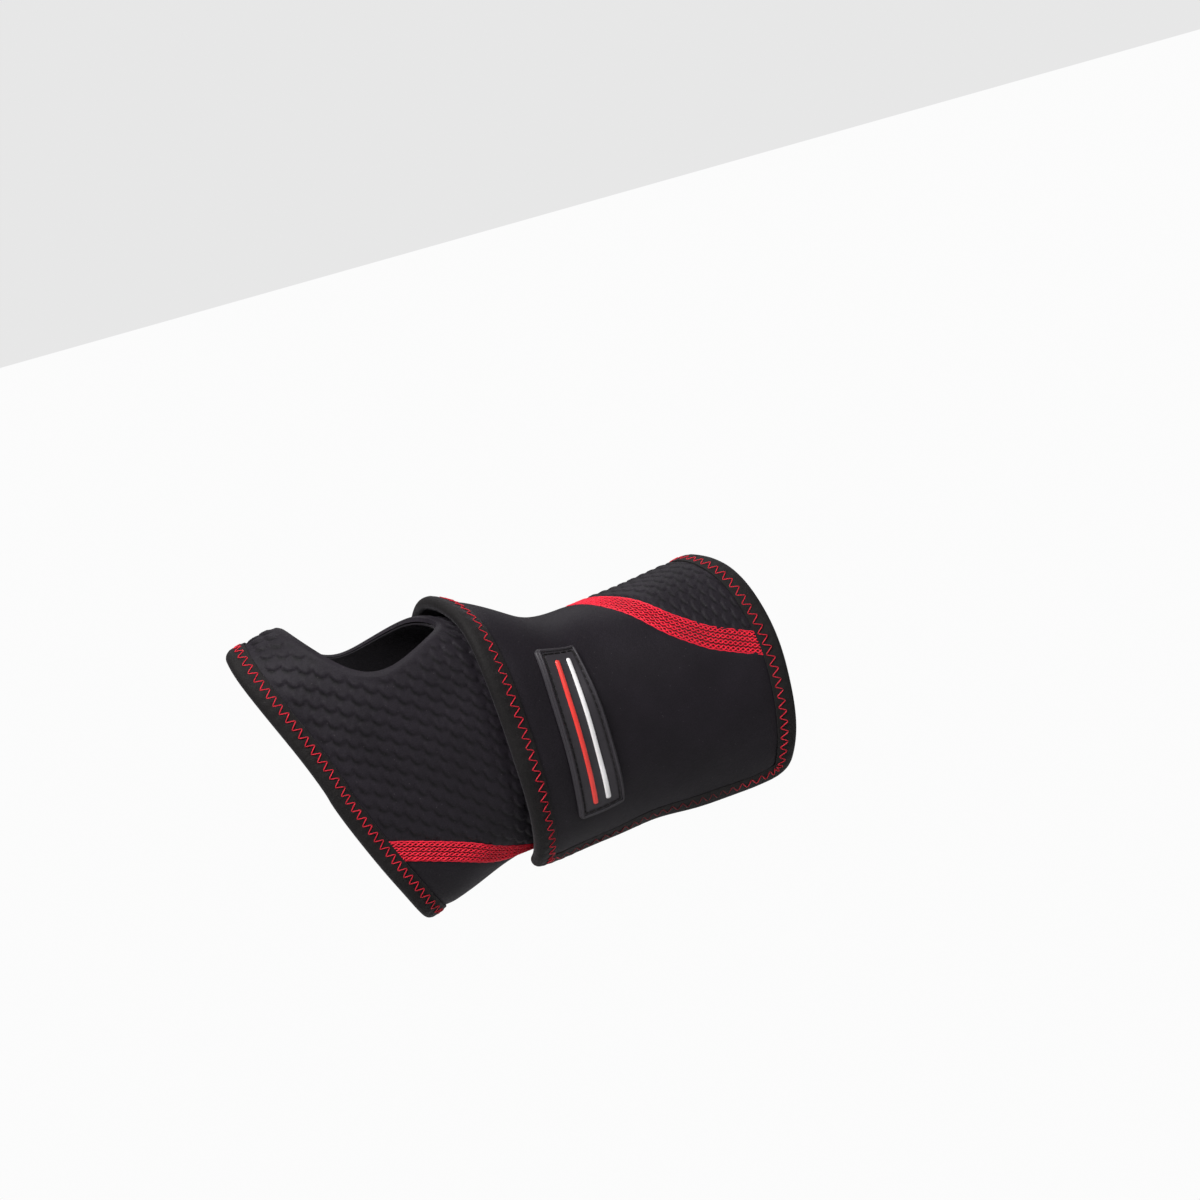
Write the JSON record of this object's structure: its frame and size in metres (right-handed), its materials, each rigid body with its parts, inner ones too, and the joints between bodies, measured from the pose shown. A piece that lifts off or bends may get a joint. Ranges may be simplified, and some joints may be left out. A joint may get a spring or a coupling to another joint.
{
  "type": "wrist support brace",
  "caption": "Right-hand neoprene wrist brace: a sleeve with a thumb hole and an outer strap that wraps the wrist and fastens with a hook tab.",
  "frame": {"origin": "middle of the wrist crease, inside the sleeve where the wearer's wrist is", "axes": "+X up the forearm, +Z to the thumb side, -Y out of the palm; right hand"},
  "size_m": [0.1593, 0.0662, 0.0976],
  "materials": {
    "embossed_neoprene": "black neoprene with an embossed scale pattern",
    "smooth_neoprene": "black neoprene with a fine knitted face",
    "plush_lining": "brushed black knit",
    "binding_tape": "black knitted binding tape",
    "red_thread": "red polyester thread, slightly shiny",
    "label_rubber": "matt dark grey moulded rubber",
    "hook_tape": "black hook tape",
    "label_red": "satin red moulded rubber",
    "label_white": "satin white moulded rubber"
  },
  "bodies": {
    "sleeve": {"palm_panel": "embossed_neoprene", "side_panel": "smooth_neoprene", "sleeve_lining": "plush_lining", "hand_binding": "binding_tape", "hand_binding_stitch": "red_thread", "cuff_binding": "binding_tape", "cuff_binding_stitch": "red_thread", "palm_seam_stitch": "red_thread", "back_seam_stitch": "red_thread", "strap_root_panel": "embossed_neoprene", "strap_anchor_stitch": "red_thread", "strap_root_front_binding": "binding_tape", "strap_root_rear_binding": "binding_tape", "strap_root_front_stitch": "red_thread", "strap_root_rear_stitch": "red_thread"},
    "strap": {"strap_panel": "smooth_neoprene", "strap_top_panel": "embossed_neoprene", "strap_lining": "plush_lining", "strap_seam_stitch": "red_thread", "strap_front_binding": "binding_tape", "strap_rear_binding": "binding_tape", "strap_front_stitch": "red_thread", "strap_rear_stitch": "red_thread", "label_base": "label_rubber", "label_rim": "label_rubber", "label_stitch": "binding_tape", "label_red_stripe": "label_red", "label_white_stripe": "label_white"},
    "strap_end": {"strap_end_panel": "smooth_neoprene", "strap_end_lining": "plush_lining", "hook_patch": "hook_tape", "strap_end_binding": "binding_tape", "strap_end_stitch": "red_thread"}
  },
  "joints": [
    {"name": "strap_swing", "type": "hinge", "parent": "sleeve", "child": "strap", "pos_m": [0.055, 0.0035, 0.0396], "axis": [-0.988, 0, 0.1541], "range_deg": [0, 120]},
    {"name": "strap_end_peel", "type": "hinge", "parent": "strap", "child": "strap_end", "pos_m": [0.05317, -0.02827, -0.02454], "axis": [-0.9967, 0.0793, -0.0199], "range_deg": [0, 80]}
  ]
}
